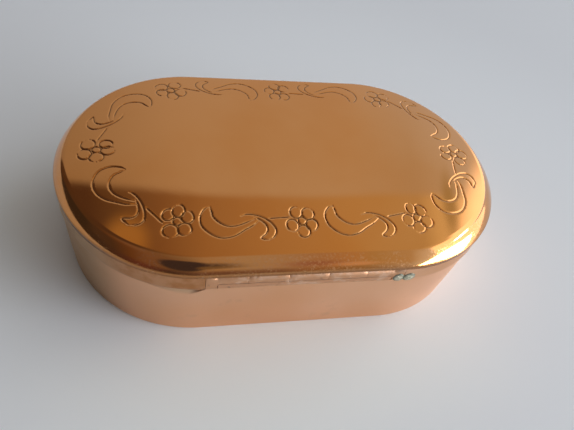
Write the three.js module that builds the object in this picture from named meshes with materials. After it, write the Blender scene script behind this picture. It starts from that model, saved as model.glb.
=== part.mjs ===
// Oval copper snuff box: a soldered sheet body and a domed lid on a flush hinge of five knuckles.
// Millimetres, +Z up. The origin lies on the table under the middle of the box, +X runs along
// the box, and the hinge fills the straight side at -Y.

import * as THREE from 'three';
import { mergeVertices } from 'three/addons/utils/BufferGeometryUtils.js';

// Outline of the lid, seen from above: two straight sides and two half-round ends
const lidLength = 84;
const lidWidth = 49.2;

// Body
const baseThickness = 0.8;
const baseEdgeRadius = 0.6;
const wallThickness = 0.7;
const wallTop = 15.05; // height of the line where lid and body part
const wallInsetTop = 0.3; // the wall stands in from the lid's outline by this much at its top
const wallInsetFoot = 1.05; // and by this much at its foot

// Inner bezel, the lip that the closed lid slips over
const bezelThickness = 0.6;
const bezelRise = 1.2; // above the wall
const bezelDepth = 2.2; // below the top of the wall
const bezelLeadIn = 0.2;
const bezelStart = 45; // degrees round each end, from the hinge side

// Lid
const rimHeight = 3.4;
const rimThickness = 0.7;
const rimReveal = 0.1; // the plate stands proud of the rim by this much
const plateThickness = 0.8;
const plateEdge = 1.05; // upright edge of the plate, above the rim
const shoulderReach = 2.0; // rounded shoulder, measured inwards
const shoulderRise = 1.8; // rounded shoulder, measured upwards
const shoulderRoundness = 1.25; // exponent of its curve: 1 is a flat bevel and 2 a quarter ellipse
const domeRise = 2.0; // from the outline to the middle of the plate

// Hinge
const knuckleCount = 5; // the lid has the odd ones, counted from the left, and the body the even ones
const barrelRadius = 1.5;
const axisInset = 1.6; // the hinge axis lies behind the lid's outline by this much
const boreClearance = 0.1;
const pinRadius = 0.6;
const pinShortfall = 0.2; // the pin ends this far inside each end of the barrel
const knuckleGap = 0.15;
const rimEndGap = 0.2; // between the end of the barrel and the end of the rim
const bearerGap = 0.12; // between the barrel and the channels that carry it
const bearerThickness = 0.65;
const bearerMouth = 5; // degrees that each channel stops short of the level of the axis
const bodyBearerFlange = 2.0;
const lidBearerFlange = 0.9;
const bodyBearerSetback = 2.2; // the body's channel stops short of the barrel's ends

// Relief filed in the top of the wall at both ends of the hinge, where the lid's rim swings down
const reliefClearance = 0.3;
const reliefRunIn = 2.9; // its length under the end knuckle
const reliefFlat = 2.1; // its length at full depth, from the end of the straight side
const reliefRunOut = 7.5; // its fade-out

// Solder tack at the right end of the hinge, cracked between the end knuckle and the rim
const tackThickness = 0.25;
const tackHeight = 1.7;
const tackKnuckleLength = 1.7;
const tackRimLength = 2.2;
const tackCrack = 0.1; // from each half of the tack to the gap beside the barrel
const tackGap = 0.04; // solder line under the tack
const tackRaise = 0.1; // its middle lies above the hinge axis by this much

const solderGap = 0.05; // solder line between pieces that lie side by side

// Facets
const endSteps = 36;
const shoulderSteps = 5;
const domeSteps = 7;
const edgeSteps = 3;
const barrelSides = 24;
const pinSides = 16;
const reliefSteps = 4;
const channelSteps = 10;
const tackRings = 3;
const tackSides = 16;

// Sizes that follow from the ones above
const endRadius = lidWidth / 2;
const straightHalf = (lidLength - lidWidth) / 2;
const rimTop = wallTop + rimHeight;
const shoulderFoot = rimTop + plateEdge;
const axisY = axisInset - endRadius;
const axisZ = wallTop + rimHeight / 2;
const hingeHalf = straightHalf - rimEndGap;
const boreRadius = pinRadius + boreClearance;
const channelRadius = barrelRadius + bearerGap;
const rimSwing = Math.hypot(axisInset - rimReveal, rimHeight / 2) - rimHeight / 2;
const reliefDepth = rimSwing + reliefClearance;
const quarterTurn = Math.PI / 2;

const polished = { color: 0xc98247, metalness: 1, roughness: 0.18 };
const satin = { color: 0xc08767, metalness: 1, roughness: 0.42 };
const dull = { color: 0xa9765a, metalness: 1, roughness: 0.55 };
const wire = { color: 0xb08d57, metalness: 1, roughness: 0.35 };
const solder = { color: 0x9aa39b, metalness: 0.8, roughness: 0.6 };

// Stops of the lid's outline, each with its outward normal, counter-clockwise seen from above:
// the hinge side, the right end, the far side and the left end.
function outline(sideStops) {
  const stops = sideStops.map((x) => ({ x, y: -endRadius, nx: 0, ny: -1 }));
  stops.push(...endStops(1));
  for (const x of [...sideStops].reverse()) stops.push({ x, y: endRadius, nx: 0, ny: 1 });
  stops.push(...endStops(-1));
  return stops;
}

function endStops(side) {
  const stops = [];
  for (let i = 1; i < endSteps; i++) {
    const turn = (i / endSteps) * Math.PI;
    const nx = side * Math.sin(turn);
    const ny = -side * Math.cos(turn);
    stops.push({ x: side * straightHalf + endRadius * nx, y: endRadius * ny, nx, ny });
  }
  return stops;
}

// The same outline from a stop in the right end round the far side to the left end, left open
// towards the hinge. `start` is in degrees from the hinge side.
function openOutline(start) {
  const first = Math.round((start / 180) * endSteps);
  const stops = outline([-straightHalf, straightHalf]);
  const kept = stops.slice(1 + first, stops.length - first + 1);
  return first === 0 ? [...kept, stops[0]] : kept;
}

// Carries a profile round the stops. A profile point is [inset from the outline, height], and
// the profile runs up its outer side. An open profile starts and ends on the middle line.
function carry(stops, profileAt, { closedPath = true, closedProfile = true } = {}) {
  const rows = stops.map((stop) =>
    profileAt(stop).map(([inset, z]) => [stop.x - stop.nx * inset, stop.y - stop.ny * inset, z]),
  );
  const width = rows[0].length;
  const triangles = [];
  const lastRow = closedPath ? rows.length : rows.length - 1;
  const lastColumn = closedProfile ? width : width - 1;
  for (let i = 0; i < lastRow; i++) {
    const a = i * width;
    const b = ((i + 1) % rows.length) * width;
    for (let j = 0; j < lastColumn; j++) {
      const k = (j + 1) % width;
      triangles.push([a + j, b + j, b + k], [a + j, b + k, a + k]);
    }
  }
  if (!closedPath) {
    const end = (rows.length - 1) * width;
    const flat = profileAt(stops[0]).map(([inset, z]) => new THREE.Vector2(-inset, z));
    for (const [i, j, k] of THREE.ShapeUtils.triangulateShape(flat, [])) {
      triangles.push([i, j, k], [end + k, end + j, end + i]);
    }
  }
  return closedGeometry(rows.flat(), triangles);
}

// A geometry with its shared points merged and without the triangles that this collapses
function closedGeometry(points, triangles) {
  const loose = new THREE.BufferGeometry();
  loose.setAttribute('position', new THREE.Float32BufferAttribute(points.flat(), 3));
  loose.setIndex(triangles.flat());
  const geometry = mergeVertices(loose, 1e-3);
  const kept = [];
  const index = geometry.index.array;
  for (let i = 0; i < index.length; i += 3) {
    const [a, b, c] = [index[i], index[i + 1], index[i + 2]];
    if (a !== b && b !== c && c !== a) kept.push(a, b, c);
  }
  geometry.setIndex(kept);
  return geometry;
}

function wallInset(z) {
  return wallInsetFoot + ((wallInsetTop - wallInsetFoot) * z) / wallTop;
}

function basePlate() {
  const edge = wallInset(baseThickness);
  const profile = [[endRadius, 0]];
  for (let i = 0; i <= edgeSteps; i++) {
    const turn = (i / edgeSteps) * quarterTurn;
    const inset = edge + baseEdgeRadius * (1 - Math.sin(turn));
    profile.push([inset, baseEdgeRadius * (1 - Math.cos(turn))]);
  }
  profile.push([edge, baseThickness], [endRadius, baseThickness]);
  return carry(outline([-straightHalf, straightHalf]), () => profile, { closedProfile: false });
}

// Depth of the relief under a stop: a smooth run-in under the end knuckle, the floor, the run-out
function reliefAt(stop) {
  if (stop.ny > 0) return 0;
  const beyond = Math.abs(stop.x) - straightHalf;
  const runIn = (beyond + reliefRunIn) / reliefRunIn;
  const runOut = (reliefFlat + reliefRunOut - beyond) / reliefRunOut;
  const share = THREE.MathUtils.clamp(Math.min(runIn, runOut), 0, 1);
  return (reliefDepth * (1 - Math.cos(Math.PI * share))) / 2;
}

function bodyWall() {
  const sideStops = [];
  for (let i = 0; i <= reliefSteps; i++) {
    const x = straightHalf - (reliefRunIn * i) / reliefSteps;
    sideStops.push(-x, x);
  }
  sideStops.sort((a, b) => a - b);
  return carry(outline(sideStops), (stop) => {
    const top = wallTop - reliefAt(stop);
    return [
      [wallInset(baseThickness), baseThickness],
      [wallInset(top), top],
      [wallInset(top) + wallThickness, top],
      [wallInset(baseThickness) + wallThickness, baseThickness],
    ];
  });
}

function innerBezel() {
  const bottom = wallTop - bezelDepth;
  const top = wallTop + bezelRise;
  const outside = (z) => wallInset(z) + wallThickness + solderGap;
  const inside = outside(bottom) + bezelThickness;
  const profile = [
    [outside(bottom), bottom],
    [outside(wallTop), wallTop],
    [outside(wallTop), top - bezelLeadIn],
    [outside(wallTop) + bezelLeadIn, top],
    [inside, top],
    [inside, bottom],
  ];
  return carry(openOutline(bezelStart), () => profile, { closedPath: false });
}

function lidRim() {
  const profile = [
    [rimReveal, wallTop],
    [rimReveal, rimTop],
    [rimReveal + rimThickness, rimTop],
    [rimReveal + rimThickness, wallTop],
  ];
  return carry(openOutline(0), () => profile, { closedPath: false });
}

// The plate's skin at a depth below its outer face, from its lower edge to the middle line
function plateSkin(depth) {
  const reach = shoulderReach - depth;
  const rise = shoulderRise - depth;
  const dome = (inset) => domeRise * (1 - (1 - inset / endRadius) ** 2);
  const points = [
    [depth, rimTop],
    [depth, shoulderFoot + dome(depth)],
  ];
  for (let i = 1; i <= shoulderSteps; i++) {
    const turn = (i / shoulderSteps) * quarterTurn;
    const inset = depth + reach * (1 - Math.cos(turn) ** (2 / shoulderRoundness));
    const up = rise * Math.sin(turn) ** (2 / shoulderRoundness);
    points.push([inset, shoulderFoot + up + dome(inset)]);
  }
  for (let i = 1; i <= domeSteps; i++) {
    const inset = shoulderReach + ((endRadius - shoulderReach) * i) / domeSteps;
    points.push([inset, shoulderFoot + rise + dome(inset)]);
  }
  return points;
}

function lidPlate() {
  const profile = [...plateSkin(plateThickness).reverse(), ...plateSkin(0)];
  return carry(outline([-straightHalf, straightHalf]), () => profile, { closedProfile: false });
}

// A section drawn in (inwards, upwards) from the hinge axis, extruded along +X
function alongHinge(shape, length, sides) {
  const options = { depth: length, bevelEnabled: false, curveSegments: sides };
  const geometry = new THREE.ExtrudeGeometry(shape, options);
  const inwards = new THREE.Vector3(0, 1, 0);
  const upwards = new THREE.Vector3(0, 0, 1);
  const along = new THREE.Vector3(1, 0, 0);
  return geometry.applyMatrix4(new THREE.Matrix4().makeBasis(inwards, upwards, along));
}

function knuckle(length) {
  const ring = new THREE.Shape().absarc(0, 0, barrelRadius, 0, 2 * Math.PI);
  ring.holes.push(new THREE.Path().absarc(0, 0, boreRadius, 0, 2 * Math.PI));
  return alongHinge(ring, length, barrelSides);
}

function hingePin() {
  const disc = new THREE.Shape().absarc(0, 0, pinRadius, 0, 2 * Math.PI);
  return alongHinge(disc, 2 * (hingeHalf - pinShortfall), pinSides);
}

function arc(radius, from, to) {
  const points = [];
  for (let i = 0; i <= channelSteps; i++) {
    const turn = from + ((to - from) * i) / channelSteps;
    points.push(new THREE.Vector2(radius * Math.cos(turn), radius * Math.sin(turn)));
  }
  return points;
}

// A channel round a quarter of the barrel with a flange that is soldered to the piece outside
// it. `flangeFace(v)` is the face of that piece at a height v over the axis, `side` is 1 for the
// lid's channel above the axis and -1 for the body's below it.
function channel(side, flangeFace, flangeEnd, length) {
  const outer = channelRadius + bearerThickness;
  const mouth = THREE.MathUtils.degToRad(bearerMouth) * side;
  const footAngle = Math.acos(flangeFace(side * channelRadius) / channelRadius) * side;
  const back = flangeFace(flangeEnd) + bearerThickness;
  const backAngle = Math.acos(back / outer) * side;
  const section = new THREE.Shape([
    ...arc(channelRadius, mouth, footAngle),
    new THREE.Vector2(flangeFace(flangeEnd), flangeEnd),
    new THREE.Vector2(back, flangeEnd),
    ...arc(outer, backAngle, mouth),
  ]);
  return alongHinge(section, length, 1);
}

function bodyBearer() {
  const face = (v) => wallInset(axisZ + v) + wallThickness + solderGap - axisInset;
  const flangeEnd = -rimHeight / 2 - bodyBearerFlange;
  return channel(-1, face, flangeEnd, 2 * (hingeHalf - bodyBearerSetback));
}

function lidBearer() {
  const face = () => plateThickness + solderGap - axisInset;
  return channel(1, face, rimHeight / 2 + lidBearerFlange, 2 * hingeHalf);
}

// A low blister of solder: `place(u, v, lift)` puts a point of the unit disc on the piece
// underneath, at a lift above it.
function blister(place) {
  const points = [place(0, 0, tackThickness), place(0, 0, 0)];
  const triangles = [];
  const at = (ring, i, face) => 2 + 2 * ((ring - 1) * tackSides + (i % tackSides)) + face;
  for (let ring = 1; ring <= tackRings; ring++) {
    const r = ring / tackRings;
    for (let i = 0; i < tackSides; i++) {
      const turn = (i / tackSides) * 2 * Math.PI;
      const [u, v] = [r * Math.cos(turn), r * Math.sin(turn)];
      points.push(place(u, v, tackThickness * (1 - r ** 3)), place(u, v, 0));
    }
  }
  for (let i = 0; i < tackSides; i++) {
    triangles.push([0, at(1, i, 0), at(1, i + 1, 0)], [1, at(1, i + 1, 1), at(1, i, 1)]);
    for (let ring = 1; ring < tackRings; ring++) {
      const [a, b] = [at(ring, i, 0), at(ring, i + 1, 0)];
      const [c, d] = [at(ring + 1, i, 0), at(ring + 1, i + 1, 0)];
      triangles.push([a, c, d], [a, d, b], [a + 1, d + 1, c + 1], [a + 1, b + 1, d + 1]);
    }
  }
  return closedGeometry(points, triangles);
}

// On the barrel: u runs along the hinge, v round the barrel's outer side
function tackOnKnuckle() {
  const middle = hingeHalf - tackCrack - tackKnuckleLength / 2;
  const lowest = (barrelRadius + tackGap) * Math.sin(tackHeight / 2 / barrelRadius);
  return blister((u, v, lift) => {
    const turn = Math.asin((tackRaise + v * lowest) / (barrelRadius + tackGap));
    const radius = barrelRadius + tackGap + lift;
    const x = middle + (u * tackKnuckleLength) / 2;
    return [x, axisY - radius * Math.cos(turn), axisZ + radius * Math.sin(turn)];
  });
}

// On the rim: u runs round the right end from the hinge, v upwards
function tackOnRim() {
  const middle = tackCrack + tackRimLength / 2;
  return blister((u, v, lift) => {
    const turn = (middle + (u * tackRimLength) / 2) / endRadius;
    const radius = endRadius - rimReveal + tackGap + lift;
    const x = straightHalf + radius * Math.sin(turn);
    return [x, -radius * Math.cos(turn), axisZ + tackRaise + (v * tackHeight) / 2];
  });
}

const box = new THREE.Group();

function add(name, geometry, finish, x = 0, y = 0, z = 0) {
  const mesh = new THREE.Mesh(geometry, new THREE.MeshStandardMaterial(finish));
  mesh.name = name;
  mesh.position.set(x, y, z);
  box.add(mesh);
}

function addKnuckles() {
  const pitch = (2 * hingeHalf + knuckleGap) / knuckleCount;
  for (let i = 0; i < knuckleCount; i++) {
    const onLid = i % 2 === 0;
    const name = `${onLid ? 'lid' : 'body'}_knuckle_${Math.floor(i / 2) + 1}`;
    add(name, knuckle(pitch - knuckleGap), onLid ? satin : dull, i * pitch - hingeHalf, axisY, axisZ);
  }
}

add('base_plate', basePlate(), satin);
add('body_wall', bodyWall(), satin);
add('inner_bezel', innerBezel(), dull);
add('body_hinge_channel', bodyBearer(), dull, bodyBearerSetback - hingeHalf, axisY, axisZ);
add('lid_plate', lidPlate(), polished);
add('lid_rim', lidRim(), satin);
add('lid_hinge_channel', lidBearer(), dull, -hingeHalf, axisY, axisZ);
addKnuckles();
add('hinge_pin', hingePin(), wire, pinShortfall - hingeHalf, axisY, axisZ);
add('solder_tack_knuckle', tackOnKnuckle(), solder);
add('solder_tack_rim', tackOnRim(), solder);

export default box;
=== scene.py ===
import math

import bmesh
import bpy
import numpy as np
from mathutils import Matrix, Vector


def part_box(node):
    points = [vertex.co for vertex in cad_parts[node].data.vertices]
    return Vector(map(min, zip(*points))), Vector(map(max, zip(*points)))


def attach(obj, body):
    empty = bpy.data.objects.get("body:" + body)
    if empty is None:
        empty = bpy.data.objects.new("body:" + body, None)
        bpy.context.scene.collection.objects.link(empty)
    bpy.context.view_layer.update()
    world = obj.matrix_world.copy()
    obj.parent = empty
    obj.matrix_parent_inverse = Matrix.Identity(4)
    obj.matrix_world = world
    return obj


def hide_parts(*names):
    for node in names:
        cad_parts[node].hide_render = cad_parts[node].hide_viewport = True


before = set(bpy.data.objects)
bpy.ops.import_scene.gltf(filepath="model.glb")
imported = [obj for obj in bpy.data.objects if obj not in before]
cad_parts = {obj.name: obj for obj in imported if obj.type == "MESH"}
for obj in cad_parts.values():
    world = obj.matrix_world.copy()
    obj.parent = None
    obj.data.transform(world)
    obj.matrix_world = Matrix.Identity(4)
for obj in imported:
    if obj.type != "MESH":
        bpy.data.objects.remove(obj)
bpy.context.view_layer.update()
print("frame loaded:", len(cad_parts), "nodes")

# The box is worked out in millimetres and written to the meshes in metres
mm = 0.001
plateLow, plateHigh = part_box("lid_plate")
rimLow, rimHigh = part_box("lid_rim")
baseLow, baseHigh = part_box("base_plate")
pinLow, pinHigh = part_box("hinge_pin")

endRadius = (plateHigh.y - plateLow.y) / 2 / mm
straightHalf = (plateHigh.x - plateLow.x) / 2 / mm - endRadius
partingLine = rimLow.z / mm
rimTop = rimHigh.z / mm
baseTop = baseHigh.z / mm
axisY = (pinLow.y + pinHigh.y) / 2 / mm
axisZ = (pinLow.z + pinHigh.z) / 2 / mm
hair = 0.01  # less than this apart, two sizes are taken as the same


def columns(*values):
    return np.stack(values, axis=1)


# Outline of the lid as a closed line of stops: a straight side, half a circle, the far side and
# half a circle. Each stop is (x, y, outward normal x, outward normal y).
def roundStops(sideCount, endCount):
    along = (2 * np.arange(sideCount) / sideCount - 1) * straightHalf
    turn = np.pi * np.arange(endCount) / endCount
    return np.concatenate([sideStops(along, -1), endStops(turn, 1),
                           sideStops(-along, 1), endStops(turn, -1)])


# The same line from an angle in the right end round the far side to the left end
def openStops(start, sideCount, endCount):
    along = np.linspace(straightHalf, -straightHalf, sideCount)
    turn = np.linspace(start, np.pi, endCount)
    return np.concatenate([endStops(turn[:-1], 1), sideStops(along, 1),
                           endStops((np.pi - turn)[::-1][1:], -1)])


def sideStops(along, side):
    still = np.zeros_like(along)
    return columns(along, still + side * endRadius, still, still + side)


def endStops(turn, side):
    nx, ny = side * np.sin(turn), -side * np.cos(turn)
    return columns(side * straightHalf + endRadius * nx, endRadius * ny, nx, ny)


# A ring of the surface: every stop moved in along its normal by an inset, at a height
def ring(stops, inset, height):
    x, y, nx, ny = stops.T
    return columns(x - nx * inset, y - ny * inset, 0 * x + height)


# The rings of a section of (inset, height) carried along the stops
def sweep(stops, section):
    return [ring(stops, inset, height) for inset, height in section]


# Faces between two rings: quads where they have as many points, and three triangles to a
# cell where one of them has half as many
def facesBetween(a, countA, b, countB, closed=True):
    if countA < countB:
        a, countA, b, countB = b, countB, a, countA
    i = np.arange(countB if closed else countB - 1)
    j = (i + 1) % countB
    if countA == countB:
        return [columns(a + i, a + j, b + j, b + i)]
    middle, end = a + 2 * i + 1, a + (2 * i + 2) % countA
    return [columns(a + 2 * i, middle, b + i), columns(middle, b + j, b + i), columns(middle, end, b + j)]


# A shell of rings, from the first to the last, and back to the first where it is closed.
# An open path gets a cap at each end.
def shellOf(rings, closedPath=True, closedSection=True):
    counts = [len(r) for r in rings]
    starts = np.concatenate([[0], np.cumsum(counts)[:-1]])
    faces = []
    for k in range(len(rings) if closedSection else len(rings) - 1):
        n = (k + 1) % len(rings)
        faces += facesBetween(starts[k], counts[k], starts[n], counts[n], closedPath)
    if not closedPath:
        faces += [starts[None, :], (starts + counts[0] - 1)[None, ::-1]]
    return np.concatenate(rings), faces


# A closed section with its corners rounded: each corner (across, up, radius) becomes an arc
# that touches both of its sides
def roundedSection(corners, steps=5):
    points = []
    for k, (across, up, radius) in enumerate(corners):
        p = np.array([across, up])
        if radius == 0:
            points.append(p)
            continue
        back = np.array(corners[k - 1][:2]) - p
        on = np.array(corners[(k + 1) % len(corners)][:2]) - p
        back, on = back / np.linalg.norm(back), on / np.linalg.norm(on)
        half = math.acos(np.clip(back @ on, -1, 1)) / 2
        centre = p + (back + on) / np.linalg.norm(back + on) * radius / math.sin(half)
        a, b = p + back * radius / math.tan(half) - centre, p + on * radius / math.tan(half) - centre
        sweepAngle = math.pi - 2 * half
        for t in np.linspace(0, 1, steps):
            share = math.sin((1 - t) * sweepAngle), math.sin(t * sweepAngle)
            points.append(centre + (a * share[0] + b * share[1]) / math.sin(sweepAngle))
    return np.array(points)


# A share held between 0 and 1, and one that also eases in and out
def held(share):
    return np.clip(share, 0, 1)


def eased(share):
    return held(share)**2 * (3 - 2 * held(share))


# Adds points to the long sides of a section, so that none is longer than a step
def dividedSection(section, step):
    points = []
    for p, q in zip(section, np.roll(section, -1, axis=0)):
        parts = max(1, math.ceil(np.linalg.norm(q - p) / step))
        points += [p + (q - p) * t / parts for t in range(parts)]
    return np.array(points)


def addObject(name, data):
    thing = bpy.data.objects.new(name, data)
    bpy.context.scene.collection.objects.link(thing)
    return thing


# Makes the piece that takes a node's place, or one that is added: points in millimetres, faces
# as arrays of equal polygons, and values that its material reads from the points
def makePiece(node, shape, material, body, values=None, crease=40, added=False):
    first, *others = node.split("_")
    name = first + "".join(word.capitalize() for word in others)
    points, faces = shape
    mesh = bpy.data.meshes.new(name)
    mesh.vertices.add(len(points))
    mesh.vertices.foreach_set("co", (points * mm).astype(np.float32).ravel())
    sizes = np.concatenate([np.full(len(f), f.shape[1]) for f in faces])
    mesh.loops.add(int(sizes.sum()))
    mesh.loops.foreach_set("vertex_index", np.concatenate([f.ravel() for f in faces]).astype(np.int32))
    mesh.polygons.add(len(sizes))
    starts = np.concatenate([[0], np.cumsum(sizes)[:-1]])
    mesh.polygons.foreach_set("loop_start", starts.astype(np.int32))
    mesh.update(calc_edges=True)
    for key, value in (values or {}).items():
        layer = mesh.attributes.new(key, "FLOAT", "POINT")
        layer.data.foreach_set("value", np.asarray(value, np.float32))
    merged = bmesh.new()
    merged.from_mesh(mesh)
    bmesh.ops.remove_doubles(merged, verts=merged.verts, dist=1e-7)
    bmesh.ops.recalc_face_normals(merged, faces=merged.faces)
    merged.to_mesh(mesh)
    merged.free()
    mesh.polygons.foreach_set("use_smooth", np.ones(len(mesh.polygons), bool))
    mesh.set_sharp_from_angle(angle=math.radians(crease))
    mesh.materials.append(material)
    piece = addObject(name, mesh)
    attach(piece, body)
    if not added:
        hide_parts(node)


# Materials

# Adds nodes to a tree. An input is linked to a socket or set to a value, and a string stands for
# the value of that name in the look.
class Nodes:
    def __init__(self, tree, look=None, kind=None):
        self.tree, self.look = tree, look
        if kind:
            self.place = self.add("TexCoord")[kind]
            self.x, self.y, self.z = self.add("SeparateXYZ", {"Vector": self.place})

    def feed(self, socket, value):
        value = self.look[value] if isinstance(value, str) else value
        if isinstance(value, bpy.types.NodeSocket):
            self.tree.links.new(value, socket)
        else:
            socket.default_value = (*value, 1) if socket.type == "RGBA" else value

    def add(self, kind, inputs=None, **settings):
        node = self.tree.nodes.new("ShaderNode" + kind)
        for key, value in settings.items():
            setattr(node, key, value)
        for key, value in (inputs or {}).items():
            self.feed(node.inputs[key], value)
        return node.outputs

    def noise(self, vector, scale, detail):
        return self.add("TexNoise", {"Vector": vector, "Scale": scale, "Detail": detail})["Fac"]

    def math(self, operation, a, b=0.0):
        return self.add("Math", {0: a, 1: b}, operation=operation)["Value"]

    def times(self, a, b):
        return self.math("MULTIPLY", a, b)

    # A value plus a share of each of some others, as (other, share)
    def total(self, value, *terms):
        for other, share in terms:
            value = self.math("ADD", value, self.times(other, share))
        return value

    # A value carried from the range low to high to the range start to end
    def stretch(self, value, low, high, start=0.0, end=1.0, kind="LINEAR"):
        inputs = {"Value": value, "From Min": low, "From Max": high, "To Min": start, "To Max": end}
        return self.add("MapRange", inputs, interpolation_type=kind)["Result"]

    def soft(self, value, low, high):
        return self.stretch(value, low, high, kind="SMOOTHSTEP")

    def mix(self, factor, a, b):
        return self.add("Mix", {0: factor, 6: a, 7: b}, data_type="RGBA")[2]

    # Goes over to the look's colour of some name between that colour's two values
    def shade(self, value, colour, name):
        return self.mix(self.soft(value, name + "From", name + "To"), colour, name)

    # Mixes in the look's colour of some name, by a mask and that colour's share
    def blend(self, mask, colour, name):
        return self.mix(self.times(mask, name + "Share"), colour, name)

    def vector(self, operation, a, b=(0, 0, 0)):
        return self.add("VectorMath", {0: a, 1: b}, operation=operation)

    # How far the place is from a point, counted in half sizes along x, y and z
    def reach(self, middle, halfSizes):
        away = self.vector("SUBTRACT", self.place, middle)["Vector"]
        return self.vector("LENGTH", self.vector("DIVIDE", away, halfSizes)["Vector"])["Value"]

    def read(self, name):
        return self.add("Attribute", attribute_name=name)["Fac"]

    def grain(self, name):
        return self.noise(self.place, *self.look[name])

    def mask(self, group, keys, numbers):
        return self.add("Group", {"Vector": self.place, **dict(zip(keys, numbers))}, node_tree=group)["Mask"]

    def cloud(self, name):
        return self.mask(cloudGroup, cloudKeys, self.look[name])

    def lines(self, name):
        return self.mask(hairlineGroup, hairlineKeys, self.look[name])

    # The dull copper inside the box, with darker stains
    def dullCopper(self):
        return self.mix(self.cloud("stains"), "dull", "stained")

    def finish(self, colour, roughness="roughness", metallic=1.0, height=None):
        shader = self.tree.nodes["Principled BSDF"].inputs
        self.feed(shader["Base Color"], colour)
        self.feed(shader["Roughness"], roughness)
        self.feed(shader["Metallic"], metallic)
        if height:
            strength, distance = self.look["bump"]
            bump = self.add("Bump", {"Height": height, "Strength": strength, "Distance": distance})
            self.feed(shader["Normal"], bump["Normal"])
        return self.material


# A node group that makes one mask from a vector and the numbers of these names
cloudKeys = ("Scale", "Low", "High", "Detail")
hairlineKeys = ("Scale", "Width", "Turn")


def newMaskGroup(name, keys):
    group = bpy.data.node_groups.new(name, "ShaderNodeTree")
    group.interface.new_socket("Vector", in_out="INPUT", socket_type="NodeSocketVector")
    for key in keys:
        group.interface.new_socket(key, in_out="INPUT", socket_type="NodeSocketFloat")
    group.interface.new_socket("Mask", in_out="OUTPUT", socket_type="NodeSocketFloat")
    leave = group.nodes.new("NodeGroupOutput").inputs["Mask"]
    return group, Nodes(group), group.nodes.new("NodeGroupInput").outputs, leave


# Cloudy mask: noise of a scale, stretched so that it runs from 0 below Low to 1 above High
def makeCloudGroup():
    group, nodes, entry, mask = newMaskGroup("cloud", cloudKeys)
    noise = nodes.noise(entry["Vector"], entry["Scale"], entry["Detail"])
    group.links.new(nodes.soft(noise, entry["Low"], entry["High"]), mask)
    return group


scratch = {"drawnOut": (0.03, 1, 1), "detail": 1, "patches": (90, 2), "patchFrom": 0.48, "patchTo": 0.62}


# Hairline scratches: the thin lines where a noise drawn out along one direction crosses its
# middle value, kept only in patches
def makeHairlineGroup():
    group, nodes, entry, mask = newMaskGroup("hairlines", hairlineKeys)
    rotated = nodes.add("VectorRotate", {"Vector": entry["Vector"], "Angle": entry["Turn"]},
                        rotation_type="Z_AXIS")["Vector"]
    drawn = nodes.vector("MULTIPLY", rotated, scratch["drawnOut"])["Vector"]
    noise = nodes.noise(drawn, entry["Scale"], scratch["detail"])
    off = nodes.math("ABSOLUTE", nodes.math("SUBTRACT", noise, 0.5))
    line = nodes.stretch(off, 0.0, entry["Width"], 1.0, 0.0)
    patches = nodes.noise(entry["Vector"], *scratch["patches"])
    kept = nodes.stretch(patches, scratch["patchFrom"], scratch["patchTo"])
    group.links.new(nodes.times(line, kept), mask)
    return group


cloudGroup = makeCloudGroup()
hairlineGroup = makeHairlineGroup()
dull = {"dull": (0.5, 0.29, 0.18), "stained": (0.36, 0.2, 0.12), "stains": (150, 0.35, 0.7, 6)}


def startMaterial(name, look):
    material = bpy.data.materials.new(name)
    material.use_nodes = True
    nodes = Nodes(material.node_tree, {**dull, **look}, "Object")
    nodes.material = material
    return nodes


polished = {"copper": (0.83, 0.38, 0.135), "deep": (0.8, 0.34, 0.105), "tone": (38, 0.36, 0.64, 3),
            "edge": (0.29, 0.13, 0.05), "edgeShare": 0.86,
            # At the left end the edge strip goes over to a darker colour: painted shade
            "edgePaintedShade": (0.08, 0.028, 0.008), "edgePaintedShadeFrom": -0.0305, "edgePaintedShadeTo": -0.0355,
            "rubbed": (0.86, 0.6, 0.4), "rubbedShare": 0.2, "rubbedTop": 0.02175, "rubbedFull": 0.0214,
            "specks": (2600, 0.45, 0.7, 2), "speckPatches": (160, 0.4, 0.62, 3),
            "groove": (0.1, 0.05, 0.022), "grooveFrom": 0.35, "grooveTo": 0.85, "grooveShare": 0.85,
            "fine": (900, 0.01, 0.5), "coarse": (700, 0.008, 2.1), "smear": (70, 0.3, 0.75, 5),
            "roughness": 0.045, "smearRough": 0.05, "lineRough": 0.08, "edgeRough": 0.15,
            "speckRough": 0.12, "insideRough": 0.4, "cutRough": 0.2,
            "swell": (55, 2), "lineHeight": -0.002, "speckHeight": 0.005, "bump": (0.2, 0.0002)}


def makeLidCopper():
    nodes = startMaterial("lid_copper", polished)
    edge, cut, inside = (nodes.read(name) for name in ("edge", "cut", "inside"))
    colour = nodes.mix(nodes.cloud("tone"), "copper", "deep")
    # The edge strip goes darker towards the left end: painted shade for the shadowed floor that it reflects
    # there
    edgeColour = nodes.shade(nodes.x, "edge", "edgePaintedShade")
    colour = nodes.mix(nodes.times(edge, "edgeShare"), colour, edgeColour)
    specks = nodes.times(nodes.cloud("specks"), nodes.cloud("speckPatches"))
    specks = nodes.times(nodes.soft(nodes.z, "rubbedTop", "rubbedFull"), specks)
    colour = nodes.blend(specks, colour, "rubbed")
    dirt = nodes.stretch(cut, "grooveFrom", "grooveTo", 0.0, "grooveShare")
    colour = nodes.mix(dirt, colour, "groove")
    colour = nodes.mix(inside, colour, nodes.dullCopper())
    lines = nodes.math("MAXIMUM", nodes.lines("fine"), nodes.lines("coarse"))
    rough = nodes.total("roughness", (nodes.cloud("smear"), "smearRough"), (lines, "lineRough"),
                        (edge, "edgeRough"), (specks, "speckRough"), (inside, "insideRough"),
                        (cut, "cutRough"))
    height = nodes.total(nodes.grain("swell"), (lines, "lineHeight"), (specks, "speckHeight"))
    return nodes.finish(colour, rough, height=height)


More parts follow.
